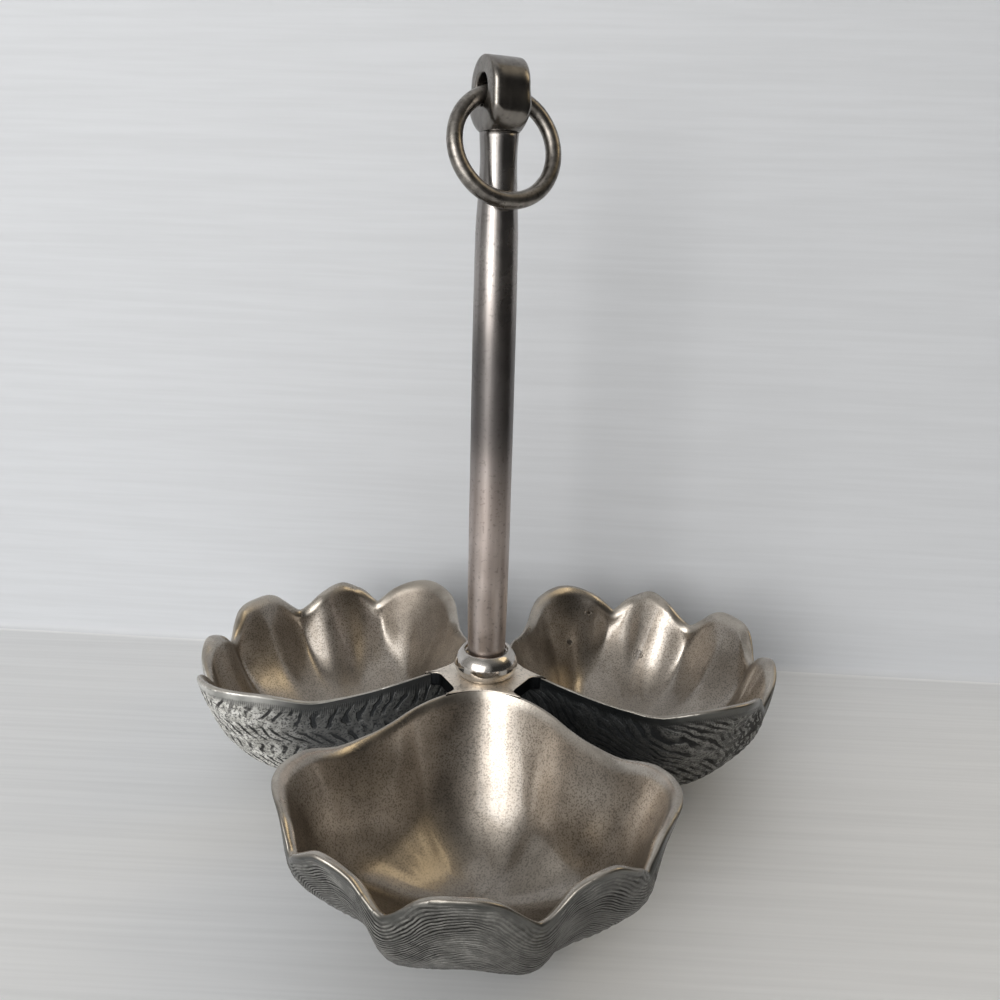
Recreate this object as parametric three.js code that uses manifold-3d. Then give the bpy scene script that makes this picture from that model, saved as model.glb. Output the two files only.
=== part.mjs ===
// Triple condiment server: three ribbed clam-shell bowls round a small hub plate, and a tall
// round carrying handle that stands on a bead collar and ends in an eye with a loose ring.
// Millimetres, +Z up. The origin is on the table, at the centre of the bounding box. The front
// bowl points along -Y.
import * as THREE from "three";
import { mergeVertices } from "three/addons/utils/BufferGeometryUtils.js";
import Module from "manifold-3d";

const wasm = await Module();
wasm.setup();

// Clearances
const SEAT_GAP = 0.3; // between faces that rest on each other
const SHANK_GAP = 0.3; // round the screw and the finial's stud
const CUT_PAST = 1; // how far a cutting shape runs past the metal

// Bowls
const BOWL_COUNT = 3;
const BOWL_CENTRE = 65; // from the handle's axis to the middle of a bowl
const BOWL_DEPTH = 56.3; // from the mean rim level down to the inside of the floor
const WALL = 3.2; // casting thickness
const LIP_EXTRA = 0.6; // the polished lip is this much thicker than the wall
const LIP_CROWN = 0.8; // height of the lip's round as a share of its half thickness
const HUB_SIDE_TURN = 125; // past this turn the rim belongs to the hub's side
const FOOT_GRIND = 1.2; // taken off the round underside to make the flat foot
const FLUTE_DEPTH = 4.8; // from the bottom of a furrow to the top of a rib
const FLUTE_PITCH = 18.8; // degrees between neighbouring ribs, seen from the handle's axis
const FLUTED_HALF_ANGLE = 37.6; // beyond this the shell's side is plain
const PLAIN_HALF_ANGLE = 46; // where the last furrow has faded out
const FLUTES_BEGIN = 26; // distance from the handle's axis where the ribs start to rise
const FLUTES_FULL = 91; // and where they have their full height
const FLUTES_FULL_STATION = 0.87; // the ribs rise from nothing at the bottom to full here
const FLARE_REACH = 3.2; // a high value keeps the rim's waves close to the rim
const SLOPE = 1.09; // 1 makes the wall an ellipse, more makes it lean outwards like a dish
const LIP_START = 0.8; // station where the wall starts to thicken towards the lip
const BELOW_RIM = 0.97; // station that, with the rim, gives the way the lip points

// Half of a bowl's rim: degrees round the bowl's middle from the outer tip, distance from the
// middle, and height over the mean rim level. Teeth and notches take turns, then the side runs in
// to the hub.
const RIM = [
  { turn: 0, reach: 66.4, rise: 3.4 },
  { turn: 9, reach: 66.2, rise: 0.4 },
  { turn: 19.3, reach: 63.6, rise: -10.2 },
  { turn: 30, reach: 62.8, rise: -2.4 },
  { turn: 40, reach: 65.8, rise: 3.0 },
  { turn: 47.5, reach: 66.8, rise: -3.4 },
  { turn: 55, reach: 64.6, rise: -10.2 },
  { turn: 64, reach: 65.2, rise: -2.8 },
  { turn: 76, reach: 67.2, rise: 3.3 },
  { turn: 90, reach: 61.0, rise: 1.6 },
  { turn: 104, reach: 51.8, rise: -3.6 },
  { turn: 118, reach: 46.4, rise: -3.5 },
  { turn: 132, reach: 44.2, rise: -2.0 },
  { turn: 146, reach: 44.8, rise: 0.2 },
  { turn: 158, reach: 46.1, rise: 1.4 },
  { turn: 169, reach: 47.6, rise: 1.6 },
  { turn: 180, reach: 48.6, rise: 1.4 },
];
const TURNS = 72; // facets round a bowl
const INNER_RINGS = 10;
const OUTER_RINGS = 9;
const LIP_RINGS = 3;
const TURN_STEP = 0.5; // degrees and stations over which the surface's slope is taken
const STATION_STEP = 0.01;

// Hub plate
const HUB_TOP = 3.6; // over the mean rim level
const HUB_THICKNESS = 6;
const HUB_ARM_REACH = 17.5; // from the axis to the end of an arm between two bowls
const HUB_ARM_WIDTH = 34; // before the bowls' sides are cut away
const HUB_WAIST = 12; // radius of the round middle
const ROUND_FACETS = 48; // round the hub and the bead

// Bead collar
const BEAD_RADIUS = 13;
const BEAD_HEIGHT = 10.4;
const BEAD_FOOT_RADIUS = 11.3;
const BEAD_MOUTH_RADIUS = 8.9; // the recess that the rod stands in
const BEAD_MOUTH_DEPTH = 2;
const BEAD_MOUTH_EASE = 0.6; // the recess's edge is broken by this much outwards
const BEAD_MOUTH_DROP = 0.4; // and this much downwards
const BEAD_STEPS = 12;

// Handle rod: height over the hub's top and radius
const ROD_LOW_HEIGHT = 30;
const ROD_LOW_RADIUS = 7.95;
const ROD_SWELL_HEIGHT = 95;
const ROD_SWELL_RADIUS = 8.1;
const ROD_HIGH_HEIGHT = 150;
const ROD_HIGH_RADIUS = 8.0;
const ROD_TAPER_HEIGHT = 178;
const ROD_TAPER_RADIUS = 7.6;
const ROD_NECK_START = 190;
const ROD_NECK_START_RADIUS = 6.9;
const ROD_NECK_HEIGHT = 200;
const ROD_NECK_RADIUS = 6.6;
const ROD_PROFILE = [
  { at: ROD_LOW_HEIGHT, radius: ROD_LOW_RADIUS },
  { at: ROD_SWELL_HEIGHT, radius: ROD_SWELL_RADIUS },
  { at: ROD_HIGH_HEIGHT, radius: ROD_HIGH_RADIUS },
  { at: ROD_TAPER_HEIGHT, radius: ROD_TAPER_RADIUS },
  { at: ROD_NECK_START, radius: ROD_NECK_START_RADIUS },
  { at: ROD_NECK_HEIGHT, radius: ROD_NECK_RADIUS },
];
const ROD_FOOT_RADIUS = 7.6;
const ROD_TOP = 208;
const ROD_HEAD_RADIUS = 7.0;
const ROD_CHAMFER = 0.6;
const ROD_RINGS = 20;
const ROD_FACETS = 36;

// Screw and washer under the hub
const SCREW_RADIUS = 3;
const SCREW_HEAD_RADIUS = 5;
const SCREW_HEAD_HEIGHT = 3.5;
const SCREW_BITE = 16; // length in the rod
const SCREW_CHAMFER = 0.5;
const SCREW_FACETS = 24;
const SLOT_WIDTH = 1.4;
const SLOT_DEPTH = 1.6;
const WASHER_RADIUS = 7.5;
const WASHER_THICKNESS = 1.5;
const BORE_FACETS = 32;

// Ring eye: a round-topped slab on a stud
const EYE_HALF_THICKNESS = 7.0;
const EYE_HALF_WIDTH = 11;
const EYE_HEIGHT = 24.6;
const EYE_SHOULDER = 5; // where the neck has widened to the full slab
const EYE_SQUARENESS = 9; // 2 is an oval section, more comes nearer to a box
const EYE_CROWN_START = 14.4; // above this the slab's narrow sides round over to the top
const EYE_HOLE_HEIGHT = 13.6;
const EYE_HOLE_RADIUS = 5.2;
const EYE_TURN = -64; // degrees from +X to the slab's wide direction
const STUD_RADIUS = 3;
const STUD_LENGTH = 10;
const EYE_FACETS = 32;
const SHOULDER_STEPS = 5;
const CROWN_STEPS = 8;

// Hanging ring
const RING_MEAN_RADIUS = 18.7;
const WIRE_RADIUS = 2.8;
const WIRE_FACETS = 12;
const RING_FACETS = 48;

const rad = THREE.MathUtils.degToRad;

function metal(color, roughness) {
  return new THREE.MeshStandardMaterial({ color, roughness, metalness: 1 });
}

const SHELL_METAL = metal(0x8f8a82, 0.42);
const HUB_METAL = metal(0xa5a199, 0.38);
const ROD_METAL = metal(0x8a817a, 0.3);
const BEAD_METAL = metal(0xa8a59f, 0.16);
const EYE_METAL = metal(0x77716b, 0.34);
const RING_METAL = metal(0x5f5a53, 0.4);
const SCREW_METAL = metal(0x6e6e6e, 0.4);

// Smooth closed curve through values given at degrees from 0 to 180, mirrored past both ends.
function mirroredSpline(keys) {
  const angles = [];
  const values = [];
  for (const side of [-1, 1]) {
    for (const key of side < 0 ? [...keys].reverse() : keys) {
      if (side > 0 && key.turn === 0) continue;
      angles.push(side * key.turn);
      values.push(key.value);
    }
  }
  const last = angles.length - 1;
  const at = (i) => {
    if (i < 0) return { a: angles[last + i] - 360, v: values[last + i] };
    if (i > last) return { a: angles[i - last] + 360, v: values[i - last] };
    return { a: angles[i], v: values[i] };
  };
  return (turn) => {
    let i = 0;
    while (i < last - 1 && angles[i + 1] <= turn) i += 1;
    const [p, q, r, s] = [at(i - 1), at(i), at(i + 1), at(i + 2)];
    const step = r.a - q.a;
    const t = (turn - q.a) / step;
    const slopeIn = ((r.v - p.v) / (r.a - p.a)) * step;
    const slopeOut = ((s.v - q.v) / (s.a - q.a)) * step;
    const t2 = t * t;
    const t3 = t2 * t;
    return (
      (2 * t3 - 3 * t2 + 1) * q.v +
      (t3 - 2 * t2 + t) * slopeIn +
      (3 * t2 - 2 * t3) * r.v +
      (t3 - t2) * slopeOut
    );
  };
}

const FOOT_DEPTH = BOWL_DEPTH + WALL - FOOT_GRIND; // from the mean rim level down to the foot

const rimReach = mirroredSpline(RIM.map((k) => ({ turn: k.turn, value: k.reach })));
const rimRise = mirroredSpline(RIM.map((k) => ({ turn: k.turn, value: k.rise })));

const smooth = (t) => THREE.MathUtils.smoothstep(t, 0, 1);

// The plain bowl without ribs. u points away from the handle, v sideways, z is 0 at the mean rim.
// station runs from 0 at the bottom to 1 at the rim.
function plainBowl(turn, station) {
  const reach = rimReach(turn) * Math.sin((station * Math.PI) / 2) ** SLOPE;
  const depth = BOWL_DEPTH * Math.cos((station * Math.PI) / 2);
  const u = BOWL_CENTRE + reach * Math.cos(rad(turn));
  const v = reach * Math.sin(rad(turn));
  return new THREE.Vector3(u, v, -depth);
}

// 1 on a rib, -1 in a furrow, and 0 where the shell is plain. The ribs fan out from the handle.
function flute(point) {
  const fan = Math.abs(THREE.MathUtils.radToDeg(Math.atan2(point.y, point.x)));
  const wave = -Math.cos((rad(360) * Math.min(fan, FLUTED_HALF_ANGLE)) / FLUTE_PITCH);
  const span = PLAIN_HALF_ANGLE - FLUTED_HALF_ANGLE;
  const fade = 1 - smooth((fan - FLUTED_HALF_ANGLE) / span);
  const fromHub = Math.hypot(point.x, point.y) - FLUTES_BEGIN;
  return wave * fade * smooth(fromHub / (FLUTES_FULL - FLUTES_BEGIN));
}

// The surface's direction away from the hollow.
function outwardOf(surface, turn, station) {
  const up = Math.min(station + STATION_STEP, 1);
  const down = up - 2 * STATION_STEP;
  const along = surface(turn, up).sub(surface(turn, down));
  const across = surface(turn + TURN_STEP, station).sub(surface(turn - TURN_STEP, station));
  return across.cross(along).normalize();
}

// The bowl with its ribs. They swell from the bottom up and die away again at the rim, which
// follows the given rim curve.
function ribbedBowl(turn, station) {
  const point = plainBowl(turn, station);
  const halfDepth = FLUTE_DEPTH / 2;
  const swell = halfDepth * flute(point) * smooth(station / FLUTES_FULL_STATION);
  point.addScaledVector(outwardOf(plainBowl, turn, station), swell);
  const rimSwell = halfDepth * flute(plainBowl(turn, 1));
  const share = station ** (2 * FLARE_REACH);
  point.addScaledVector(outwardOf(plainBowl, turn, 1), -rimSwell * share);
  point.z += rimRise(turn) * station ** FLARE_REACH;
  return point;
}

// Skins a closed body from rings of points, from a single top point down to a single last one.
function skinRings(first, rings, last) {
  const count = rings[0].length;
  const positions = [];
  const put = (p) => positions.push(p.x, p.y, p.z);
  put(first);
  rings.forEach((ring) => ring.forEach(put));
  put(last);
  const index = [];
  const at = (ring, j) => 1 + ring * count + (j % count);
  const end = 1 + rings.length * count;
  for (let j = 0; j < count; j += 1) {
    index.push(0, at(0, j), at(0, j + 1));
    index.push(end, at(rings.length - 1, j + 1), at(rings.length - 1, j));
    for (let k = 0; k + 1 < rings.length; k += 1) {
      index.push(at(k, j), at(k + 1, j), at(k + 1, j + 1));
      index.push(at(k, j), at(k + 1, j + 1), at(k, j + 1));
    }
  }
  const geometry = new THREE.BufferGeometry();
  geometry.setAttribute("position", new THREE.Float32BufferAttribute(positions, 3));
  geometry.setIndex(index);
  return geometry;
}

// One ring of points round a bowl, one for each turn.
function turnsOf(makePoint) {
  return Array.from({ length: TURNS }, (_, j) => makePoint(-180 + (360 * j) / TURNS));
}

// The bowl's outside, ground flat at the foot.
function outerBowl(turn, station, thickness) {
  const point = ribbedBowl(turn, station);
  point.addScaledVector(outwardOf(ribbedBowl, turn, station), thickness);
  point.z = Math.max(point.z, -FOOT_DEPTH);
  return point;
}

// The lip is a half round from the inner to the outer edge, ground level with the hub beside it.
function lipPoint(turn, part) {
  const inner = ribbedBowl(turn, 1);
  const outward = outwardOf(ribbedBowl, turn, 1);
  const half = (WALL + LIP_EXTRA) / 2;
  const along = ribbedBowl(turn, 1).sub(ribbedBowl(turn, BELOW_RIM)).normalize();
  const swing = Math.PI * part;
  const point = inner
    .addScaledVector(outward, half * (1 - Math.cos(swing)))
    .addScaledVector(along, half * LIP_CROWN * Math.sin(swing));
  if (Math.abs(turn) > HUB_SIDE_TURN) point.z = Math.min(point.z, HUB_TOP);
  return point;
}

function bowlGeometry() {
  const rings = [];
  for (let k = 1; k <= INNER_RINGS; k += 1) {
    rings.push(turnsOf((turn) => ribbedBowl(turn, k / INNER_RINGS)));
  }
  for (let k = 1; k <= LIP_RINGS; k += 1) {
    rings.push(turnsOf((turn) => lipPoint(turn, k / (LIP_RINGS + 1))));
  }
  for (let k = OUTER_RINGS; k >= 1; k -= 1) {
    const station = k / OUTER_RINGS;
    const thickness = WALL + LIP_EXTRA * smooth((station - LIP_START) / (1 - LIP_START));
    rings.push(turnsOf((turn) => outerBowl(turn, station, thickness)));
  }
  const floor = plainBowl(0, 0);
  const foot = new THREE.Vector3(BOWL_CENTRE, 0, -FOOT_DEPTH);
  return skinRings(floor, rings, foot);
}

// Everything that a bowl and its hollow take up, with a seat gap round it, to cut the hub plate.
function bowlClearance() {
  const rings = [];
  for (let k = 1; k <= OUTER_RINGS; k += 1) {
    const thickness = WALL + LIP_EXTRA + SEAT_GAP;
    rings.unshift(turnsOf((turn) => outerBowl(turn, k / OUTER_RINGS, thickness)));
  }
  const above = rings[0].map((p) => new THREE.Vector3(p.x, p.y, HUB_TOP + HUB_THICKNESS));
  rings.unshift(above);
  const top = new THREE.Vector3(BOWL_CENTRE, 0, HUB_TOP + HUB_THICKNESS);
  const foot = new THREE.Vector3(BOWL_CENTRE, 0, -FOOT_DEPTH);
  return skinRings(top, rings, foot);
}

function solid(geometry) {
  const bare = geometry.index ? geometry.clone() : mergeVertices(geometry);
  bare.deleteAttribute("normal");
  bare.deleteAttribute("uv");
  const merged = mergeVertices(bare, 1e-4);
  return new wasm.Manifold(
    new wasm.Mesh({
      numProp: 3,
      vertProperties: new Float32Array(merged.attributes.position.array),
      triVerts: new Uint32Array(merged.index.array),
    }),
  );
}

function geometryOf(manifold) {
  const mesh = manifold.getMesh();
  const geometry = new THREE.BufferGeometry();
  geometry.setAttribute("position", new THREE.BufferAttribute(mesh.vertProperties, 3));
  geometry.setIndex(new THREE.BufferAttribute(mesh.triVerts, 1));
  return geometry;
}

// Turns a profile of radius and height round the Z axis.
function lathe(points, segments) {
  const profile = points.map(([radius, height]) => new THREE.Vector2(radius, height));
  return new THREE.LatheGeometry(profile, segments).rotateX(Math.PI / 2);
}

function post(radius, low, high, segments) {
  const height = high - low;
  return new THREE.CylinderGeometry(radius, radius, height, segments)
    .rotateX(Math.PI / 2)
    .translate(0, 0, (low + high) / 2);
}

// Direction of each bowl from the handle, the front one first.
const bowlTurns = Array.from({ length: BOWL_COUNT }, (_, i) => -90 + (360 * i) / BOWL_COUNT);

const SCREW_BORE_RADIUS = SCREW_RADIUS + SHANK_GAP;

function hubGeometry() {
  const low = HUB_TOP - HUB_THICKNESS;
  let hub = solid(post(HUB_WAIST, low, HUB_TOP, ROUND_FACETS));
  for (const turn of bowlTurns) {
    const arm = new THREE.BoxGeometry(HUB_ARM_REACH, HUB_ARM_WIDTH, HUB_THICKNESS);
    arm.translate(HUB_ARM_REACH / 2, 0, HUB_TOP - HUB_THICKNESS / 2);
    arm.rotateZ(rad(turn + 180 / BOWL_COUNT));
    hub = hub.add(solid(arm));
  }
  for (const turn of bowlTurns) {
    hub = hub.subtract(solid(bowlClearance().rotateZ(rad(turn))));
  }
  const bore = post(SCREW_BORE_RADIUS, low - CUT_PAST, HUB_TOP + CUT_PAST, BORE_FACETS);
  return geometryOf(hub.subtract(solid(bore)));
}

// A squashed ball, cut off at the foot and at the mouth, with a recess for the rod's foot.
function beadGeometry() {
  const bore = SCREW_BORE_RADIUS;
  const low = SEAT_GAP;
  const high = SEAT_GAP + BEAD_HEIGHT;
  const profile = [[bore, low]];
  const startSwing = -Math.acos(BEAD_FOOT_RADIUS / BEAD_RADIUS);
  const endSwing = Math.acos((BEAD_MOUTH_RADIUS + BEAD_MOUTH_EASE) / BEAD_RADIUS);
  const squash = BEAD_HEIGHT / (Math.sin(endSwing) - Math.sin(startSwing)) / BEAD_RADIUS;
  const startHeight = Math.sin(startSwing) * BEAD_RADIUS * squash;
  for (let i = 0; i <= BEAD_STEPS; i += 1) {
    const swing = THREE.MathUtils.lerp(startSwing, endSwing, i / BEAD_STEPS);
    const height = low + Math.sin(swing) * BEAD_RADIUS * squash - startHeight;
    profile.push([BEAD_RADIUS * Math.cos(swing), height]);
  }
  profile.push([BEAD_MOUTH_RADIUS, high - BEAD_MOUTH_DROP]);
  profile.push([BEAD_MOUTH_RADIUS, high - BEAD_MOUTH_DEPTH]);
  profile.push([bore, high - BEAD_MOUTH_DEPTH]);
  profile.push([bore, low]);
  return lathe(profile, ROUND_FACETS).translate(0, 0, HUB_TOP);
}

const ROD_FOOT = SEAT_GAP + BEAD_HEIGHT - BEAD_MOUTH_DEPTH + SEAT_GAP;

// The rod's side as points of radius and height over the hub's top.
function rodSide(steps) {
  const curve = new THREE.SplineCurve([
    new THREE.Vector2(ROD_FOOT_RADIUS, ROD_FOOT + ROD_CHAMFER),
    ...ROD_PROFILE.map((p) => new THREE.Vector2(p.radius, p.at)),
    new THREE.Vector2(ROD_HEAD_RADIUS, ROD_TOP),
  ]);
  return curve.getPoints(steps);
}

function rodGeometry() {
  const studBore = STUD_RADIUS + SHANK_GAP;
  const screwBoreEnd = ROD_FOOT + SCREW_BITE + SHANK_GAP;
  const studBoreEnd = ROD_TOP - STUD_LENGTH - SHANK_GAP;
  const profile = [
    [0, screwBoreEnd],
    [SCREW_BORE_RADIUS, screwBoreEnd],
    [SCREW_BORE_RADIUS, ROD_FOOT],
    [ROD_FOOT_RADIUS - ROD_CHAMFER, ROD_FOOT],
    ...rodSide(ROD_RINGS).map((p) => [p.x, p.y]),
    [studBore, ROD_TOP],
    [studBore, studBoreEnd],
    [0, studBoreEnd],
  ];
  return lathe(profile, ROD_FACETS).translate(0, 0, HUB_TOP);
}

const HUB_UNDERSIDE = HUB_TOP - HUB_THICKNESS;

function washerGeometry() {
  const high = HUB_UNDERSIDE - SEAT_GAP;
  const low = high - WASHER_THICKNESS;
  const profile = [
    [SCREW_BORE_RADIUS, low],
    [WASHER_RADIUS, low],
    [WASHER_RADIUS, high],
    [SCREW_BORE_RADIUS, high],
    [SCREW_BORE_RADIUS, low],
  ];
  return lathe(profile, BORE_FACETS);
}

function screwGeometry() {
  const headTop = HUB_UNDERSIDE - WASHER_THICKNESS - 2 * SEAT_GAP;
  const headBottom = headTop - SCREW_HEAD_HEIGHT;
  const tip = HUB_TOP + ROD_FOOT + SCREW_BITE;
  const profile = [
    [0, headBottom],
    [SCREW_HEAD_RADIUS - SCREW_CHAMFER, headBottom],
    [SCREW_HEAD_RADIUS, headBottom + SCREW_CHAMFER],
    [SCREW_HEAD_RADIUS, headTop],
    [SCREW_RADIUS, headTop],
    [SCREW_RADIUS, tip - SCREW_CHAMFER],
    [SCREW_RADIUS - SCREW_CHAMFER, tip],
    [0, tip],
  ];
  const slotLength = 2 * (SCREW_HEAD_RADIUS + CUT_PAST);
  const slot = new THREE.BoxGeometry(slotLength, SLOT_WIDTH, 2 * SLOT_DEPTH);
  slot.translate(0, 0, headBottom);
  return geometryOf(solid(lathe(profile, SCREW_FACETS)).subtract(solid(slot)));
}

// One level ring of the eye's slab: a rounded rectangle with given half sizes.
function slabRing(halfWide, halfThick, squareness, height) {
  return Array.from({ length: EYE_FACETS }, (_, j) => {
    const swing = (2 * Math.PI * j) / EYE_FACETS;
    const round = (value) => Math.sign(value) * Math.abs(value) ** (2 / squareness);
    const x = halfWide * round(Math.cos(swing));
    const y = halfThick * round(Math.sin(swing));
    return new THREE.Vector3(x, y, height);
  });
}

// The slab's rings from the rod's head up through the shoulder, then over the crown.
function slabRings() {
  const rings = [];
  for (let i = 0; i <= SHOULDER_STEPS; i += 1) {
    const level = i / SHOULDER_STEPS;
    const widening = Math.sin((Math.PI / 2) * level);
    const wide = THREE.MathUtils.lerp(ROD_HEAD_RADIUS, EYE_HALF_WIDTH, widening);
    const thick = THREE.MathUtils.lerp(ROD_HEAD_RADIUS, EYE_HALF_THICKNESS, widening);
    const squareness = THREE.MathUtils.lerp(2, EYE_SQUARENESS, level ** 2);
    const height = THREE.MathUtils.lerp(SEAT_GAP, EYE_SHOULDER, level);
    rings.push(slabRing(wide, thick, squareness, height));
  }
  for (let i = 0; i < CROWN_STEPS; i += 1) {
    const swing = (Math.PI / 2) * (i / CROWN_STEPS);
    const wide = EYE_HALF_WIDTH * Math.cos(swing);
    const height = THREE.MathUtils.lerp(EYE_CROWN_START, EYE_HEIGHT, Math.sin(swing));
    rings.push(slabRing(wide, EYE_HALF_THICKNESS, EYE_SQUARENESS, height));
  }
  return rings;
}

function eyeGeometry() {
  const top = new THREE.Vector3(0, 0, EYE_HEIGHT);
  const foot = new THREE.Vector3(0, 0, SEAT_GAP);
  const slab = solid(skinRings(top, slabRings().reverse(), foot));
  const length = 2 * (EYE_HALF_THICKNESS + CUT_PAST);
  const hole = new THREE.CylinderGeometry(EYE_HOLE_RADIUS, EYE_HOLE_RADIUS, length, BORE_FACETS);
  const bored = slab.subtract(solid(hole.translate(0, 0, EYE_HOLE_HEIGHT)));
  const stud = post(STUD_RADIUS, -STUD_LENGTH, EYE_SHOULDER / 2, SCREW_FACETS);
  return geometryOf(bored.add(solid(stud)));
}

// The ring hangs in the eye's hole: the wire rests on the hole's two lower edges and arches
// between them.
const RING_INNER_RADIUS = RING_MEAN_RADIUS - WIRE_RADIUS;
const RING_ARCH = RING_INNER_RADIUS - Math.sqrt(RING_INNER_RADIUS ** 2 - EYE_HALF_THICKNESS ** 2);
const RING_PIVOT = EYE_HOLE_HEIGHT - EYE_HOLE_RADIUS + WIRE_RADIUS + RING_ARCH + SEAT_GAP;

// It leans on the rod: the widest place of the rod that the ring's lower half can touch.
function rodRadiusAtRing() {
  const lowest = ROD_TOP + RING_PIVOT - 2 * (RING_MEAN_RADIUS + WIRE_RADIUS);
  const highest = lowest + RING_MEAN_RADIUS;
  const touched = rodSide(10 * ROD_RINGS).filter((p) => p.y > lowest && p.y < highest);
  return Math.max(...touched.map((p) => p.x));
}

const RING_LEAN = Math.asin(
  (rodRadiusAtRing() + WIRE_RADIUS + SEAT_GAP) / (2 * RING_MEAN_RADIUS),
);

const group = new THREE.Group();
const server = new THREE.Group();
group.add(server);

function place(name, geometry, material, parent = server) {
  const mesh = new THREE.Mesh(geometry, material);
  mesh.name = name;
  parent.add(mesh);
  return mesh;
}

const bowlNames = ["front_bowl", "right_bowl", "left_bowl"];
bowlNames.forEach((name, i) => {
  place(name, bowlGeometry(), SHELL_METAL).rotation.z = rad(bowlTurns[i]);
});
place("hub_plate", hubGeometry(), HUB_METAL);
place("bead_collar", beadGeometry(), BEAD_METAL);
place("handle_rod", rodGeometry(), ROD_METAL);
place("handle_screw", screwGeometry(), SCREW_METAL);
place("screw_washer", washerGeometry(), SCREW_METAL);

const finial = new THREE.Group();
finial.position.z = HUB_TOP + ROD_TOP;
finial.rotation.z = rad(EYE_TURN);
server.add(finial);
place("ring_eye", eyeGeometry(), EYE_METAL, finial);

const ring = new THREE.TorusGeometry(RING_MEAN_RADIUS, WIRE_RADIUS, WIRE_FACETS, RING_FACETS);
ring.rotateY(Math.PI / 2).translate(0, 0, -RING_MEAN_RADIUS).rotateY(-RING_LEAN);
place("hanging_ring", ring, RING_METAL, finial).position.z = RING_PIVOT;

// Sets the model on the table with its bounding box centred on the origin.
server.updateMatrixWorld(true);
const box = new THREE.Box3().setFromObject(server, true);
const middle = box.getCenter(new THREE.Vector3());
server.position.set(-middle.x, -middle.y, -box.min.z);

export default group;
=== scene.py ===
import math

import bmesh
import bpy
import numpy as np
from mathutils import Matrix, Vector


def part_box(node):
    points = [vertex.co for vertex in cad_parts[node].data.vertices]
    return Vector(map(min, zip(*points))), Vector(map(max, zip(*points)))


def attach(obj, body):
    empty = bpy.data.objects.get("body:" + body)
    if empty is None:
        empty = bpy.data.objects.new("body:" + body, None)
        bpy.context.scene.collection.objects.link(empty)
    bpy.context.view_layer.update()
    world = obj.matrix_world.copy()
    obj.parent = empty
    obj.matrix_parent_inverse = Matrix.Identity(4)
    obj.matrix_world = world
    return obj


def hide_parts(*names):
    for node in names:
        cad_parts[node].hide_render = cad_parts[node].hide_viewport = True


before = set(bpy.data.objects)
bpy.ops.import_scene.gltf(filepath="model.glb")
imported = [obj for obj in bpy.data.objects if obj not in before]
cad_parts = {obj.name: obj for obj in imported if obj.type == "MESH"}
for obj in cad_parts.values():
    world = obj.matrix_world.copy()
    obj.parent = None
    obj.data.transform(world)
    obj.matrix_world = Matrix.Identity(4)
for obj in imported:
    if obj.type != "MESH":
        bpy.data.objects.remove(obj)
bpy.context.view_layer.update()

# Sizes: most are the solids' own, and the softer forms are only in this model
SEAT_GAP = 0.3
BOWL_CENTRE = 65.0
BOWL_DEPTH = 56.3
WALL = 3.2
LIP_EXTRA = 0.6
FOOT_GRIND = 1.2
FOOT_DEPTH = BOWL_DEPTH + WALL - FOOT_GRIND
FLUTE_DEPTH = 6.0  # a little deeper than in the solids, because the grooves are softer
FLUTE_PITCH = 18.8
FLUTED_HALF_ANGLE = 2 * FLUTE_PITCH
PLAIN_HALF_ANGLE = 46.0
FLUTES_BEGIN = 31.0  # from the handle's axis
FLUTES_FULL = 91.0
FLUTES_FULL_STATION = 0.92
FLARE_POWER = 3.2  # how late towards the rim the teeth rise
SLOPE_POWER = 1.09  # above 1 the side is straighter than a round bowl's
LIP_START = 0.8  # the station from which the wall grows into the lip
HUB_TOP = 3.6
HUB_THICKNESS = 6.0
HUB_ARM_REACH = 17.5
HUB_ARM_HALF_WIDTH = 17.0
HUB_WAIST = 12.0
BEAD_RADIUS = 13.0
BEAD_HEIGHT = 10.4
BEAD_FOOT_RADIUS = 11.3
BEAD_MOUTH_RADIUS = 8.9
BEAD_MOUTH_DEPTH = 2.0
BEAD_MOUTH_EASE = 1.1  # how far outside its mouth the bead's round side ends
ROD_FOOT = BEAD_HEIGHT - BEAD_MOUTH_DEPTH + 2 * SEAT_GAP  # over the hub's top, like all rod heights
ROD_TOP = 208.0
ROD_FOOT_RADIUS = 7.6
ROD_HEAD_RADIUS = 7.0
ROD_SWELL = ((30, 7.95), (95, 8.1), (150, 8.0), (178, 7.6), (190, 6.9), (200, 6.6))  # height and radius
ROD_RADIUS_AT_RING = 7.6  # where the ring leans on the rod
EYE_HALF_THICKNESS = 7.0
EYE_HALF_WIDTH = 11.0
EYE_HEIGHT = 24.6
EYE_TAPER = 8.2  # height of the taper from the rod up to the slab
EYE_SWELL = 1.1  # how much wider the slab is low down than the solid one
EYE_SQUARENESS = 7.5  # of the slab's outline from above: 2 is round, and higher is squarer
EYE_FOOT = 0.1  # over the rod's head
EYE_CROWN_START = 14.4
EYE_CROWN_THINNING = 0.9  # how far each flat side leans in at the top
EYE_HOLE_HEIGHT = 13.6
EYE_HOLE_RADIUS = 5.2
EYE_TURN = -64.0
RING_MEAN_RADIUS = 18.7
WIRE_RADIUS = 2.8
WIRE_DENTS = 0.07
WIRE_GAIN = 0.2  # how much thicker the wire is at the ring's bottom
SCREW_RADIUS = 3.0
SCREW_BITE = 16.0
SCREW_HEAD_RADIUS = 5.0
SCREW_HEAD_HEIGHT = 3.5
SLOT_HALF_WIDTH = 0.7
SLOT_DEPTH = 1.6
WASHER_RADIUS = 7.5
WASHER_THICKNESS = 1.5

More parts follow.
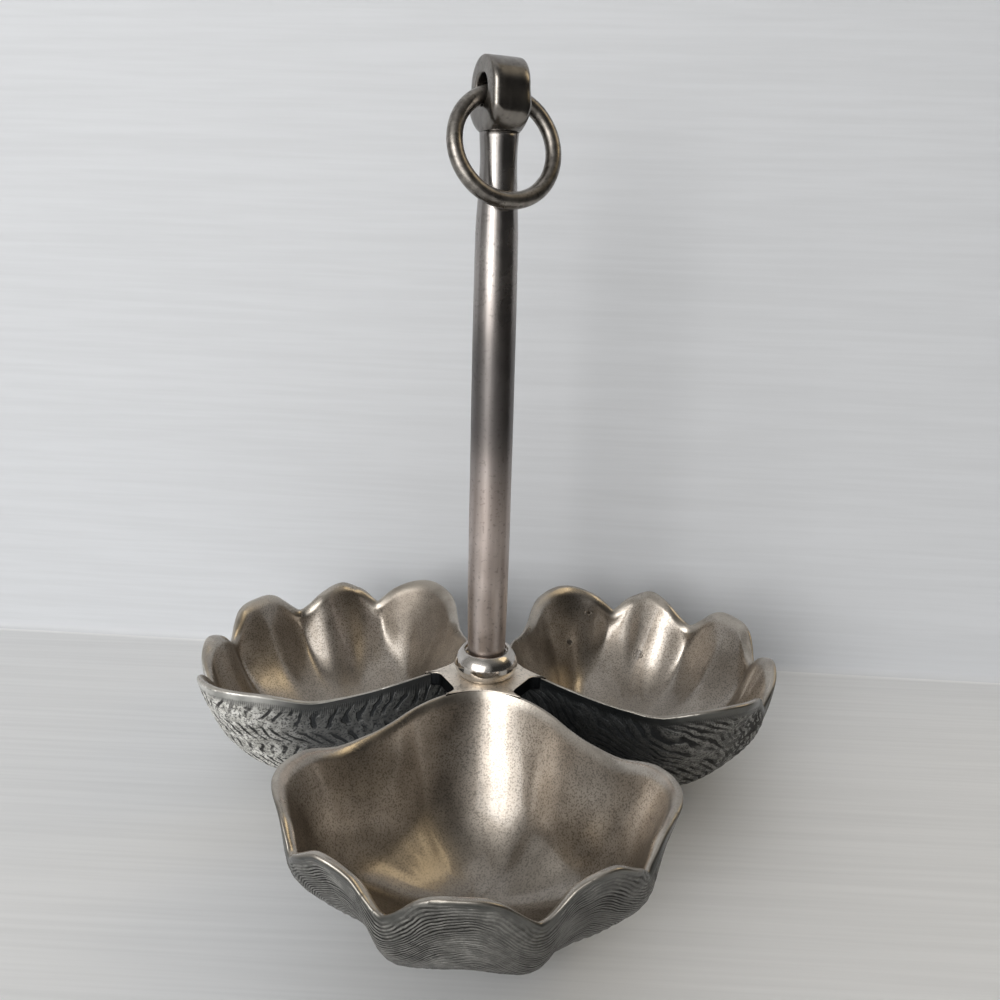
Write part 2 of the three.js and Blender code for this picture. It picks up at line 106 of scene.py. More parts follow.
# Rim of a bowl from the outer tip round to the hub: degrees, distance from the bowl's middle,
# and height over the mean rim level
RIM = np.array([
    (0, 66.4, 3.4), (9, 66.2, 1.2), (19.3, 63.6, -10.2), (30, 62.8, -1.3), (40, 65.8, 3.0),
    (47.5, 66.8, -2.0), (55, 64.6, -10.2), (64, 65.2, -1.9), (76, 67.2, 3.3), (90, 61.0, 1.6),
    (104, 51.8, -3.6), (118, 46.4, -3.5), (132, 44.2, -2.0), (146, 44.8, 0.4),
    (158, 46.1, 2.0), (169, 47.6, 2.8), (180, 48.6, 3.0),
])

# The handle's axis and the mean rim level in the model's frame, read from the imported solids
rod_low, rod_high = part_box("handle_rod")
hub_low, hub_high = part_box("hub_plate")
AXIS = np.array([(rod_low.x + rod_high.x) / 2, (rod_low.y + rod_high.y) / 2, 0.0])
AXIS[2] = hub_high.z - HUB_TOP / 1000


def smooth(t):
    t = np.clip(t, 0.0, 1.0)
    return t * t * (3 - 2 * t)


def unit(vectors):
    return vectors / np.linalg.norm(vectors, axis=-1, keepdims=True)


def in_turns(xyz, degrees):
    """Turns points round the handle's axis."""
    a = math.radians(degrees)
    x, y = xyz[..., 0], xyz[..., 1]
    turned = [x * math.cos(a) - y * math.sin(a), x * math.sin(a) + y * math.cos(a), xyz[..., 2]]
    return np.stack(turned, -1)


# Repeatable noise: random values on a lattice that wraps round, smoothly interpolated
LATTICE = np.random.default_rng(7).uniform(-1, 1, (32, 32, 32))


def noise(points, size, shift=0.0):
    """Value noise from -1 to 1 whose bumps are about size millimetres."""
    p = points / size + shift
    base = np.floor(p).astype(int)
    f = p - base
    f = f * f * (3 - 2 * f)
    total = 0.0
    for corner in np.ndindex(2, 2, 2):
        i = (base + corner) % 32
        weight = np.prod(np.where(corner, f, 1 - f), axis=-1)
        total = total + weight * LATTICE[i[..., 0], i[..., 1], i[..., 2]]
    return total


# Bowl surface
def smooth_values(keys, values, slopes, at):
    """Values between keys that have a value and a slope each."""
    i = np.clip(np.searchsorted(keys, at, side="right") - 1, 0, len(keys) - 2)
    step = keys[i + 1] - keys[i]
    t = (at - keys[i]) / step
    t2, t3 = t * t, t * t * t
    return ((2 * t3 - 3 * t2 + 1) * values[i] + (t3 - 2 * t2 + t) * step * slopes[i]
            + (3 * t2 - 2 * t3) * values[i + 1] + (t3 - t2) * step * slopes[i + 1])


def round_rim(turn, column):
    """A smooth curve through one column of RIM, mirrored about the bowl's middle line."""
    turns = np.concatenate([-RIM[:0:-1, 0], RIM[:, 0]])
    values = np.concatenate([RIM[:0:-1, column], RIM[:, column]])
    turns = np.concatenate([[turns[-2] - 360], turns, [turns[1] + 360]])
    values = np.concatenate([[values[-2]], values, [values[1]]])
    slopes = np.zeros_like(values)
    slopes[1:-1] = (values[2:] - values[:-2]) / (turns[2:] - turns[:-2])
    return smooth_values(turns, values, slopes, turn)


def wrap(turn):
    return (turn + 180.0) % 360.0 - 180.0


CREASE = 0.11  # softness of the groove at a notch by the rim: 0 is a knife edge
DEEP_CREASE = 1.3
RIDGE = 0.2  # height of the soft ridge along each lobe, as a share of half the flute depth
RIDGE_SPREAD = 2.6  # degrees


def flute(point, station):
    """1 in the groove at a notch and -1 along a lobe, seen from inside."""
    fan = np.minimum(np.abs(np.degrees(np.arctan2(point[..., 1], point[..., 0]))), 90)
    inner = np.minimum(fan, FLUTED_HALF_ANGLE)
    swing = np.cos(math.pi * inner / FLUTE_PITCH)
    soft = DEEP_CREASE + (CREASE - DEEP_CREASE) * smooth(station / 0.85)
    creased = (np.sqrt(swing ** 2 + soft ** 2) - soft) / (np.sqrt(1 + soft ** 2) - soft)
    off = inner - FLUTE_PITCH * np.round(inner / FLUTE_PITCH)
    wave = 1 - 2 * creased - RIDGE * np.exp(-(off / RIDGE_SPREAD) ** 2) * smooth(station / 0.7)
    fade = 1 - smooth((fan - FLUTED_HALF_ANGLE) / (PLAIN_HALF_ANGLE - FLUTED_HALF_ANGLE))
    from_hub = np.hypot(point[..., 0], point[..., 1]) - FLUTES_BEGIN
    return wave * fade * smooth(from_hub / (FLUTES_FULL - FLUTES_BEGIN))


def outward_of(surface, turn, station):
    """The direction straight out of a bowl's surface."""
    up = np.clip(station + 0.01, 0.022, 1.0)
    down = up - 0.02
    along = surface(turn, up) - surface(turn, down)
    across = surface(turn + 0.5, station) - surface(turn - 0.5, station)
    return unit(np.cross(across, along))


HUB_BELLY_REACH = 45.6  # on the hub's side the belly is rounder than the rim over it
FLARE_DENT = 1.6  # how far the inside stands in below the flare at the teeth
FLARE_START = 0.8
SLANT_DENT = 4.0  # how far the inside stands in where it slants up to the hub
ROLL_START = 0.962
ROLL_SHARE = 0.26


def lip_thickness(turn):
    """The lip is broad at the teeth and thin beside the hub."""
    return WALL + LIP_EXTRA - 2.2 * smooth((np.abs(turn) - 92) / 34)


class Casting:
    """The surface of one bowl, along the x axis, with what is its own: its turn round the handle,
    how dark its patina is outside, how fast its flutes fade below the rim, and small bends. A bend
    has its place and its spread in degrees, then in mm how far the rim and the belly under it stand
    out and how high the rim rises. A point's turn is in degrees round the bowl's middle from the
    outer tip, and its station runs from 0 at the bottom to 1 at the rim."""

    def __init__(self, turn=0.0, patina=0.0, flute_fade=2.2, bends=()):
        self.turn, self.patina, self.flute_fade, self.bends = turn, patina, flute_fade, bends

    def bent(self, turn, column):
        total = 0.0 * turn
        for bend in self.bends:
            total = total + bend[column] * np.exp(-((turn - bend[0]) / bend[1]) ** 2)
        return total

    def plain(self, turn, station):
        turn = wrap(turn)
        reach = round_rim(turn, 1) + self.bent(turn, 2)
        rounder = smooth((np.abs(turn) - 118) / 30) * (1 - smooth((station - 0.55) / 0.45))
        reach = reach + (HUB_BELLY_REACH - reach) * rounder
        reach = reach * np.sin(station * math.pi / 2) ** SLOPE_POWER
        reach = reach + self.bent(turn, 3) * 4 * station * (1 - station)
        depth = BOWL_DEPTH * np.cos(station * math.pi / 2)
        a = np.radians(turn)
        return np.stack([BOWL_CENTRE + reach * np.cos(a), reach * np.sin(a), -depth], -1)

    def ribbed(self, turn, station):
        point = self.plain(turn, station)
        half = FLUTE_DEPTH / 2
        swell = half * flute(point, station) * smooth(station / FLUTES_FULL_STATION) ** self.flute_fade
        point = point + outward_of(self.plain, turn, station) * swell[..., None]
        rim = np.ones_like(station)
        rim_swell = half * flute(self.plain(turn, rim), rim) * station ** (2 * FLARE_POWER)
        point = point - outward_of(self.plain, turn, rim) * rim_swell[..., None]
        turn = wrap(turn)
        point[..., 2] += (round_rim(turn, 2) + self.bent(turn, 4)) * station ** FLARE_POWER
        return point

    def inner_wall(self, turn, station):
        """The inside, which turns outward below the lip and rolls over into it."""
        hubward = smooth((np.abs(turn) - 70) / 45)
        rise = smooth((station - 0.35) / (FLARE_START - 0.35))
        fall = np.clip((station - FLARE_START) / (1 - FLARE_START), 0, 1) ** 2
        flare = FLARE_DENT * rise * (1 - fall) * (1 - hubward)
        slant = SLANT_DENT * 6.75 * station ** 2 * (1 - station) * hubward
        roll = np.clip((station - ROLL_START) / (1 - ROLL_START), 0, 1) ** 2
        push = roll * ROLL_SHARE * lip_thickness(turn) - flare - slant
        return self.ribbed(turn, station) + outward_of(self.ribbed, turn, station) * push[..., None]


CASTINGS = {
    "front_bowl": Casting(-90.0, 0.94, 2.2, ((-80, 20, -2.4, -1.0, 0.0), (-44, 22, -0.3, -3.4, 0.0))),
    "right_bowl": Casting(30.0, 1.0, 1.7, ((-62, 22, -1.2, 0.0, 0.0),)),
    "left_bowl": Casting(150.0, 0.0, 1.7, ((78, 13, 4.4, 0.0, -0.8), (66, 7, 3.8, 0.0, 2.0),
                                           (-40, 13, 0.0, 0.0, -1.7), (0, 12, 0.0, 0.0, -0.5))),
}


def growth(points, turn, below):
    """Height of the cast relief outside a bowl. below is the distance under the rim."""
    side = smooth((np.abs(turn) - 72) / 26)
    waves = noise(points, 6.5, 3.1) * 0.14 + noise(points, 2.4, 6.2) * 0.07
    terraces = 0.10 * np.sin(2 * math.pi * (below / 4.3 + 0.9 * noise(points, 19)))
    steps = smooth((below - 21 - 2.5 * noise(points, 23, 4.4)) / 2.2)
    beside = -0.55 * steps * (1 - smooth((np.abs(turn) - 150) / 20)) + 0.10 * noise(points, 4.1, 9.7)
    band = smooth((below - 3.4 - 3.6 * side - 1.6 * noise(points, 13, 2.2)) / 4.0)
    return band * (waves + terraces * (1 - side) + beside * side)


def grid_faces(rows, columns):
    """Faces of rings of points, closed round each ring."""
    i, j = np.meshgrid(np.arange(rows - 1), np.arange(columns), indexing="ij")
    k = (j + 1) % columns
    low, high = i * columns, (i + 1) * columns
    return np.stack([low + j, high + j, high + k, low + k], -1).reshape(-1, 4)


def end_fans(rows, columns):
    """Triangles that close the first and the last ring onto the two points after the rings."""
    first, last = rows * columns, rows * columns + 1
    start = first - columns
    fans = []
    for j in range(columns):
        k = (j + 1) % columns
        fans += [(first, j, k), (last, start + k, start + j)]
    return fans


def add_object(name, data):
    obj = bpy.data.objects.new(name, data)
    bpy.context.scene.collection.objects.link(obj)
    return obj


def make_mesh(name, points, faces, caps=(), attributes=None):
    """A smooth-shaded object from points in millimetres round the handle's axis."""
    mesh = bpy.data.meshes.new(name)
    vertices = points / 1000 + AXIS
    mesh.from_pydata(vertices.tolist(), [], [list(f) for f in faces] + [list(c) for c in caps])
    mesh.update()
    for label, values in (attributes or {}).items():
        layer = mesh.attributes.new(label, "FLOAT", "POINT")
        layer.data.foreach_set("value", np.asarray(values, np.float32))
    mesh.polygons.foreach_set("use_smooth", [True] * len(mesh.polygons))
    return add_object(name, mesh)


def face_outward(obj):
    """Joins doubled points, turns the faces of a closed mesh outward and shades them smooth."""
    mesh = bmesh.new()
    mesh.from_mesh(obj.data)
    bmesh.ops.remove_doubles(mesh, verts=mesh.verts, dist=1e-6)
    if mesh.calc_volume(signed=True) < 0:
        bmesh.ops.reverse_faces(mesh, faces=mesh.faces)
    mesh.to_mesh(obj.data)
    mesh.free()
    obj.data.polygons.foreach_set("use_smooth", [True] * len(obj.data.polygons))
    return obj


FINE_TURNS = 480
INNER_RINGS = 72
OUTER_RINGS = 130
LIP_RINGS = 10
LIP_ROUND = 1.15  # how far the lip's curve bulges: 4/3 would be near a half circle
INNER_DENTS = 0.10


def lip_rows(casting, turns, outer_rim, outer_below):
    """Rows over the lip, from the inside's end to the outside's end."""
    rim = np.ones(len(turns))
    start = casting.inner_wall(turns, rim)
    climb = unit(start - casting.inner_wall(turns, rim * 0.99))
    fall = unit(outer_rim - outer_below)
    reach = np.linalg.norm(outer_rim - start, axis=-1, keepdims=True) / 2 * LIP_ROUND
    rows = []
    for k in range(1, LIP_RINGS + 1):
        t = k / (LIP_RINGS + 1)
        row = ((1 - t) ** 3 * start + 3 * t * (1 - t) ** 2 * (start + climb * reach)
               + 3 * t * t * (1 - t) * (outer_rim + fall * reach) + t ** 3 * outer_rim)
        level = np.minimum(row[:, 2], HUB_TOP - 0.05)
        row[:, 2] = np.where(np.abs(turns) > 120, level, row[:, 2])
        rows.append(row)
    return rows


def make_bowl(name, casting):
    turns = np.linspace(-180, 180, FINE_TURNS, endpoint=False)
    rows, marks = [], []

    def add(points, inside, lip, below, around):
        rows.append(points)
        marks.append([np.broadcast_to(v, len(turns)) for v in (inside, lip, below, around)])

    for k in range(1, INNER_RINGS + 1):
        station = np.full(FINE_TURNS, (k / INNER_RINGS) ** 0.75)
        points = casting.inner_wall(turns, station)
        dents = INNER_DENTS * noise(in_turns(points, casting.turn), 11)
        points = points + outward_of(casting.ribbed, turns, station) * dents[:, None]
        add(points, 1.0, smooth((station - 0.94) / 0.06), 0.0, 0.0)

    outer, outs = [], []
    for k in range(OUTER_RINGS, 0, -1):
        station = np.full(FINE_TURNS, k / OUTER_RINGS)
        swell = smooth((station - LIP_START) / (1 - LIP_START))
        thickness = WALL + (lip_thickness(turns) - WALL) * swell
        outs.append(outward_of(casting.ribbed, turns, station))
        outer.append(casting.ribbed(turns, station) + outs[-1] * thickness[:, None])
    for k, row in enumerate(lip_rows(casting, turns, outer[0], outer[1])):
        share = (k + 1) / (LIP_RINGS + 1)
        add(row, 1 - smooth(share), 1 - smooth((share - 0.5) / 0.5), 0.0, 0.0)

    steps = np.linalg.norm(np.diff(np.array(outer), axis=0), axis=-1)
    below = np.concatenate([np.zeros((1, FINE_TURNS)), np.cumsum(steps, axis=0)])
    around = np.cumsum(np.linalg.norm(np.roll(outer[0], -1, axis=0) - outer[0], axis=-1))
    around -= around[FINE_TURNS // 2]
    for points, out, under in zip(outer, outs, below):
        height = growth(in_turns(points, casting.turn), turns, under)
        points = points + out * height[:, None]
        points[:, 2] = np.maximum(points[:, 2], -FOOT_DEPTH)
        add(points, 0.0, 0.0, under, around)

    centre = rows[0].mean(axis=0, keepdims=True)
    points = np.concatenate(rows + [centre, np.array([[BOWL_CENTRE, 0.0, -FOOT_DEPTH]])])
    values = np.array(marks).transpose(1, 0, 2).reshape(4, -1)
    ends = ((1.0, 0.0), (0.0, 0.0), (0.0, float(below[-1].mean())), (0.0, 0.0))
    attributes = {label: np.concatenate([values[i], ends[i]])
                  for i, label in enumerate(("inside", "lip", "below", "around"))}
    attributes["patina"] = np.full(len(points), casting.patina)
    faces, caps = grid_faces(len(rows), FINE_TURNS), end_fans(len(rows), FINE_TURNS)
    return make_mesh(name, in_turns(points, casting.turn), faces, caps, attributes)


def revolved(profile, segments):
    """Rings of points round the upright axis from a profile of radius and height."""
    profile = np.array(profile, float)
    a = np.linspace(0, 2 * math.pi, segments, endpoint=False)
    r, h = profile[:, 0][:, None], profile[:, 1][:, None]
    return np.stack([r * np.cos(a), r * np.sin(a), h + 0 * a], -1).reshape(-1, 3)


def lathe(name, profile, segments, base=0.0, dents=0.0):
    """Turns a profile of radius and height round the handle's axis. Ends on the axis close up."""
    points = revolved(profile, segments) + [0, 0, base]
    if dents:
        push = 1 + dents * noise(points, 14) / np.maximum(np.hypot(points[:, 0], points[:, 1]), 1)
        points[:, :2] *= push[:, None]
    return face_outward(make_mesh(name, points, grid_faces(len(profile), segments)[:, ::-1]))


def rounded(profile, radius, steps=4):
    """A profile whose inner corners are rounded by up to the given radius."""
    points = [np.array(p, float) for p in profile]
    result = [points[0]]
    for before, corner, after in zip(points, points[1:], points[2:]):
        a, b = before - corner, after - corner
        la, lb = np.linalg.norm(a), np.linalg.norm(b)
        cut = min(radius, la * 0.45, lb * 0.45)
        p, q = corner + a / la * cut, corner + b / lb * cut
        for i in range(steps + 1):
            t = i / steps
            result.append((1 - t) ** 2 * p + 2 * t * (1 - t) * corner + t * t * q)
    result.append(points[-1])
    return result


def bead_profile():
    bore = SCREW_RADIUS + SEAT_GAP
    low, high = HUB_TOP + 0.05, HUB_TOP + SEAT_GAP + BEAD_HEIGHT
    start = -math.acos(BEAD_FOOT_RADIUS / BEAD_RADIUS)
    end = math.acos((BEAD_MOUTH_RADIUS + BEAD_MOUTH_EASE) / BEAD_RADIUS)
    swings = np.linspace(start, end, 40)
    squash = (BEAD_HEIGHT + 0.25) / (math.sin(end) - math.sin(start)) / BEAD_RADIUS
    side = [(BEAD_RADIUS * math.cos(s), low + (math.sin(s) - math.sin(start)) * BEAD_RADIUS * squash)
            for s in swings]
    mouth = [(BEAD_MOUTH_RADIUS + 0.75, high), (BEAD_MOUTH_RADIUS + 0.25, high - 0.1),
             (BEAD_MOUTH_RADIUS, high - 0.7), (BEAD_MOUTH_RADIUS, high - BEAD_MOUTH_DEPTH),
             (bore, high - BEAD_MOUTH_DEPTH), (bore, low)]
    return [(bore, low), (BEAD_FOOT_RADIUS - 0.5, low)] + side + mouth


def rod_profile():
    """Radius and height over the hub's top, from foot to head."""
    keys = np.array([(ROD_FOOT + 0.6, ROD_FOOT_RADIUS), *ROD_SWELL, (ROD_TOP, ROD_HEAD_RADIUS)])
    heights = np.linspace(keys[0, 0], ROD_TOP, 120)
    slopes = np.gradient(keys[:, 1], keys[:, 0])
    radii = smooth_values(keys[:, 0], keys[:, 1], slopes, heights)
    foot = [(0, ROD_FOOT), (ROD_FOOT_RADIUS - 0.6, ROD_FOOT), (ROD_FOOT_RADIUS - 0.17, ROD_FOOT + 0.17)]
    head = [(ROD_HEAD_RADIUS - 0.3, ROD_TOP + 0.12), (0, ROD_TOP + 0.12)]
    return foot + list(zip(radii, heights)) + head


def on_the_rod(points, height=0.0):
    """Turns points as the eye is turned, and lifts them to the rod's head."""
    return in_turns(points, EYE_TURN) + [0, 0, HUB_TOP + ROD_TOP + height]


EYE_POINTS = 96  # in one ring of the slab


def slab_ring(wide, thick, height, squareness=EYE_SQUARENESS):
    """A level closed line between a circle and a rectangle, with evenly spaced points."""
    a = np.linspace(0, 2 * math.pi, 720, endpoint=False)
    x, y = (np.sign(v) * np.abs(v) ** (2 / squareness) for v in (np.cos(a), np.sin(a)))
    line = np.stack([wide * x, thick * y, np.full(len(a), height)], -1)
    line = np.concatenate([line, line[:1]])
    length = np.concatenate([[0], np.cumsum(np.linalg.norm(np.diff(line, axis=0), axis=1))])
    at = np.linspace(0, length[-1], EYE_POINTS, endpoint=False)
    return np.stack([np.interp(at, length, line[:, i]) for i in range(3)], -1)


def make_eye():
    """A slab that swells out of the rod's round head, with a round top and a cross hole."""
    wide_low, thick_low = EYE_HALF_WIDTH + EYE_SWELL, EYE_HALF_THICKNESS + EYE_SWELL / 2
    narrower, thinner = EYE_SWELL * 0.6, EYE_SWELL * 0.3
    rings = []
    for level in np.linspace(0, 1, 20):
        widening = math.sin(math.pi / 2 * level) ** 0.75
        wide = ROD_HEAD_RADIUS + (wide_low - ROD_HEAD_RADIUS) * widening
        thick = ROD_HEAD_RADIUS + (thick_low - ROD_HEAD_RADIUS) * widening
        squareness = 2 + (EYE_SQUARENESS - 2) * level ** 0.9
        rings.append(slab_ring(wide, thick, EYE_FOOT + (EYE_TAPER - EYE_FOOT) * level, squareness))
    for height in np.linspace(EYE_TAPER, EYE_CROWN_START, 8)[1:-1]:
        share = smooth((height - EYE_TAPER) / (EYE_CROWN_START - EYE_TAPER))
        rings.append(slab_ring(wide_low - narrower * share, thick_low - thinner * share, height))
    for swing in np.linspace(0, math.pi / 2, 24, endpoint=False):
        wide = (wide_low - narrower) * math.cos(swing)
        thick = thick_low - thinner - EYE_CROWN_THINNING * (swing / (math.pi / 2)) ** 3
        height = EYE_CROWN_START + (EYE_HEIGHT - EYE_CROWN_START) * math.sin(swing)
        rings.append(slab_ring(wide, thick, height))
    points = np.concatenate(rings[::-1] + [[[0, 0, EYE_HEIGHT]], [[0, 0, EYE_FOOT]]])
    faces, caps = grid_faces(len(rings), EYE_POINTS), end_fans(len(rings), EYE_POINTS)
    return cut_away(make_mesh("ring_eye_head", on_the_rod(points), faces, caps), hole_cutter())


def hole_cutter():
    """A spool that bores the eye's hole and eases its two edges."""
    reach = EYE_HALF_THICKNESS + EYE_SWELL / 4
    profile = [(0, -reach - 2), (EYE_HOLE_RADIUS + 1.6, -reach - 2)]
    profile += [(EYE_HOLE_RADIUS + 1.0, -reach - 0.3)]
    profile += [(EYE_HOLE_RADIUS + 0.8 * (1 - s) ** 2, -reach + 0.9 * s) for s in np.linspace(0, 1, 5)]
    profile += [(r, -z) for r, z in reversed(profile)]
    points = revolved(profile, 64)[:, [0, 2, 1]] + [0, 0, EYE_HOLE_HEIGHT]
    return make_mesh("eye_hole_cutter", on_the_rod(points), grid_faces(len(profile), 64))


def cut_away(obj, cutter):
    """Takes the cutter's shape out of a piece."""
    cut = obj.modifiers.new("cut", "BOOLEAN")
    cut.operation, cut.object, cut.solver = "DIFFERENCE", cutter, "EXACT"
    evaluated = obj.evaluated_get(bpy.context.evaluated_depsgraph_get())
    obj.data = bpy.data.meshes.new_from_object(evaluated)
    obj.modifiers.clear()
    bpy.data.objects.remove(cutter)
    return face_outward(obj)


def make_ring():
    """Slightly uneven wire that hangs through the eye and leans on the rod."""
    inner = RING_MEAN_RADIUS - WIRE_RADIUS
    arch = inner - math.sqrt(inner ** 2 - EYE_HALF_THICKNESS ** 2)
    pivot = EYE_HOLE_HEIGHT - EYE_HOLE_RADIUS + WIRE_RADIUS + arch + SEAT_GAP
    lean = math.asin((ROD_RADIUS_AT_RING + WIRE_RADIUS + SEAT_GAP) / (2 * RING_MEAN_RADIUS))
    big = np.linspace(0, 2 * math.pi, 144, endpoint=False)[:, None]
    small = np.linspace(0, 2 * math.pi, 32, endpoint=False)[None, :]
    wobble = np.stack([np.cos(big) * 20 + 0 * small, np.sin(big) * 20 + 0 * small,
                       3 * small + 0 * big], -1)
    wire = WIRE_RADIUS + WIRE_DENTS * noise(wobble, 8) + WIRE_GAIN * ((1 - np.cos(big)) / 2) ** 2
    out = RING_MEAN_RADIUS + wire * np.cos(small)
    across, down = wire * np.sin(small), out * np.cos(big) - RING_MEAN_RADIUS
    x = across * math.cos(lean) - down * math.sin(lean)
    z = across * math.sin(lean) + down * math.cos(lean)
    points = on_the_rod(np.stack([x, out * np.sin(big), z], -1).reshape(-1, 3), pivot)
    return face_outward(make_mesh("loose_ring", points, grid_faces(145, 32) % len(points)))


# Hub plate
def outline_distance(line, points):
    """Distance from points to a closed line, negative inside."""
    a, b = line, np.roll(line, -1, axis=0)
    best = np.full(len(points), 1e9)
    crossings = np.zeros(len(points), int)
    for (x0, y0), (x1, y1) in zip(a, b):
        dx, dy = x1 - x0, y1 - y0
        along = (points[:, 0] - x0) * dx + (points[:, 1] - y0) * dy
        t = np.clip(along / (dx * dx + dy * dy + 1e-12), 0, 1)
        best = np.minimum(best, np.hypot(points[:, 0] - x0 - t * dx, points[:, 1] - y0 - t * dy))
        spans = (y0 > points[:, 1]) != (y1 > points[:, 1])
        cross = x0 + dx * (points[:, 1] - y0) / (dy if abs(dy) > 1e-12 else 1e-12)
        crossings += spans & (points[:, 0] < cross)
    return np.where(crossings % 2 == 1, -best, best)


def soft_min(a, b, reach):
    share = np.clip(0.5 + 0.5 * (b - a) / reach, 0, 1)
    return b + (a - b) * share - reach * share * (1 - share)


HUB_FILLET = 5.0
HUB_TUCK = 1.1  # how far the plate runs into the lips round it
HUB_EASE = 0.45  # rounding of its edges


def plate_value(points):
    """Negative inside the plate's outline: arms and lips joined by fillets, less the bowls."""
    whole = np.full(len(points), 1e9)
    hollow = np.full(len(points), -1e9)
    arms = np.hypot(points[:, 0], points[:, 1]) - HUB_WAIST
    even = Casting()
    turns = np.linspace(-180, 180, 180, endpoint=False)
    rim = np.ones(len(turns))
    edge = even.ribbed(turns, rim) + outward_of(even.ribbed, turns, rim) * lip_thickness(turns)[:, None]
    for casting in CASTINGS.values():
        distance = outline_distance(in_turns(edge, casting.turn)[:, :2], points)
        whole = soft_min(whole, distance, HUB_FILLET)
        hollow = np.maximum(hollow, -HUB_TUCK - distance)
        a = math.radians(casting.turn + 60)
        along = points[:, 0] * math.cos(a) + points[:, 1] * math.sin(a)
        across = np.abs(points[:, 1] * math.cos(a) - points[:, 0] * math.sin(a))
        arm = np.maximum(np.maximum(along - HUB_ARM_REACH, -along), across - HUB_ARM_HALF_WIDTH)
        arms = np.minimum(arms, arm)
    return np.maximum(soft_min(whole, arms, HUB_FILLET), hollow)


def plate_outline():
    """The plate's outline as evenly spaced points, found along rays from the axis."""
    count, start, step = 720, 2.0, 0.5
    angles = np.linspace(0, 2 * math.pi, count, endpoint=False)
    way = np.stack([np.cos(angles), np.sin(angles)], -1)
    low = np.full(count, start)
    for reach in np.arange(start + step, 30.0, step):
        inside = plate_value(way * reach) < 0
        low = np.where(inside & (low == reach - step), reach, low)
    high = low + step
    for _ in range(8):
        middle = (low + high) / 2
        inside = plate_value(way * middle[:, None]) < 0
        low, high = np.where(inside, middle, low), np.where(inside, high, middle)
    return way * low[:, None]


def make_plate():
    outline = plate_outline()
    tangent = unit(np.roll(outline, -1, axis=0) - np.roll(outline, 1, axis=0))
    normal = np.stack([tangent[:, 1], -tangent[:, 0]], -1)
    bore = unit(outline) * (SCREW_RADIUS + SEAT_GAP)
    low = HUB_TOP - HUB_THICKNESS
    rows, tops = [], []

    def ring(flat, height, top=0.0):
        rows.append(np.concatenate([flat, np.full((len(flat), 1), height)], axis=1))
        tops.append(np.full(len(flat), top))

    ring(bore, low)
    for share in (0, 0.35, 0.7):
        ring(bore * (1 - share) + outline * share, HUB_TOP, 1.0)
    for swing in np.linspace(0, math.pi / 2, 5):
        level = HUB_TOP - HUB_EASE * (1 - math.cos(swing))
        ring(outline - normal * HUB_EASE * (1 - math.sin(swing)), level, 1.0 if swing < 1.3 else 0.0)
    for swing in np.linspace(math.pi / 2, 0, 5):
        ring(outline - normal * HUB_EASE * (1 - math.sin(swing)), low + HUB_EASE * (1 - math.cos(swing)))
    points = np.concatenate(rows)
    faces = grid_faces(len(rows) + 1, len(outline)) % len(points)
    return face_outward(make_mesh("hub_flat", points, faces, attributes={"top": np.concatenate(tops)}))


# Screw and washer under the hub
def make_screw():
    head_top = HUB_TOP - HUB_THICKNESS - WASHER_THICKNESS - 2 * SEAT_GAP
    head_low = head_top - SCREW_HEAD_HEIGHT
    tip = HUB_TOP + ROD_FOOT + SCREW_BITE
    profile = rounded([(0, head_low), (SCREW_HEAD_RADIUS, head_low + 0.3), (SCREW_HEAD_RADIUS, head_top),
                       (SCREW_RADIUS, head_top), (SCREW_RADIUS, tip), (0, tip)], 0.7)
    half = (SCREW_HEAD_RADIUS + 1, SLOT_HALF_WIDTH, SLOT_DEPTH)
    return cut_away(lathe("clamp_screw", profile, 48), make_box("slot_cutter", (0, 0, head_low), half))


def make_box(name, centre, half):
    corners = np.array([[x, y, z] for z in (-1, 1) for x, y in ((-1, -1), (1, -1), (1, 1), (-1, 1))])
    faces = [(3, 2, 1, 0), (4, 5, 6, 7), (0, 1, 5, 4), (1, 2, 6, 5), (2, 3, 7, 6), (3, 0, 4, 7)]
    return make_mesh(name, corners * np.array(half) + np.array(centre), faces)


def make_washer():
    high = HUB_TOP - HUB_THICKNESS - SEAT_GAP
    low = high - WASHER_THICKNESS
    bore = SCREW_RADIUS + SEAT_GAP
    ring = [(bore, low), (WASHER_RADIUS, low), (WASHER_RADIUS, high), (bore, high), (bore, low)]
    return lathe("clamp_washer", rounded(ring, 0.3), 64)


